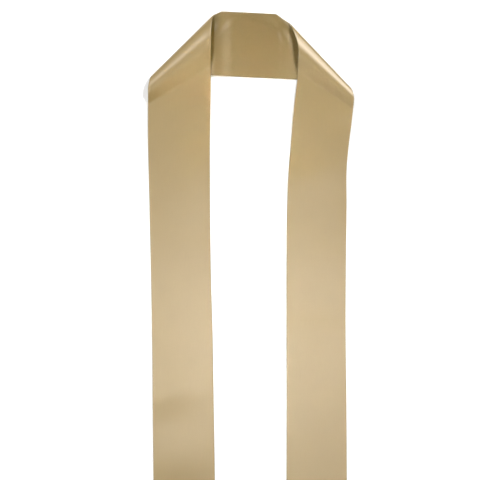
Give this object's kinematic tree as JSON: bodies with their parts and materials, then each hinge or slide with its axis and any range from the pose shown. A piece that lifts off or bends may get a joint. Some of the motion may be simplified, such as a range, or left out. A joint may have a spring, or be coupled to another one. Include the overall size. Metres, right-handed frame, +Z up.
{
  "type": "stole",
  "caption": "Plain satin stole laid flat: a long straight strip of two satin layers, folded diagonally at each shoulder so that both tails run side by side.",
  "frame": {"origin": "on the floor, under the middle of the bounding box of the stole as laid", "axes": "+Z up from the floor, +Y along the tails towards the neck band, +X from the left tail towards the right tail as seen from above"},
  "size_m": [0.3419, 0.8636, 0.0195],
  "materials": {
    "satin_front": "champagne gold polyester satin, glossy along the strip",
    "satin_back": "champagne gold polyester satin, the reverse layer, shiny side out"
  },
  "bodies": {
    "root": {"neck_front": "satin_front", "neck_back": "satin_back", "left_tail_front": "satin_front", "left_tail_back": "satin_back", "right_tail_front": "satin_front", "right_tail_back": "satin_back"}
  },
  "joints": []
}
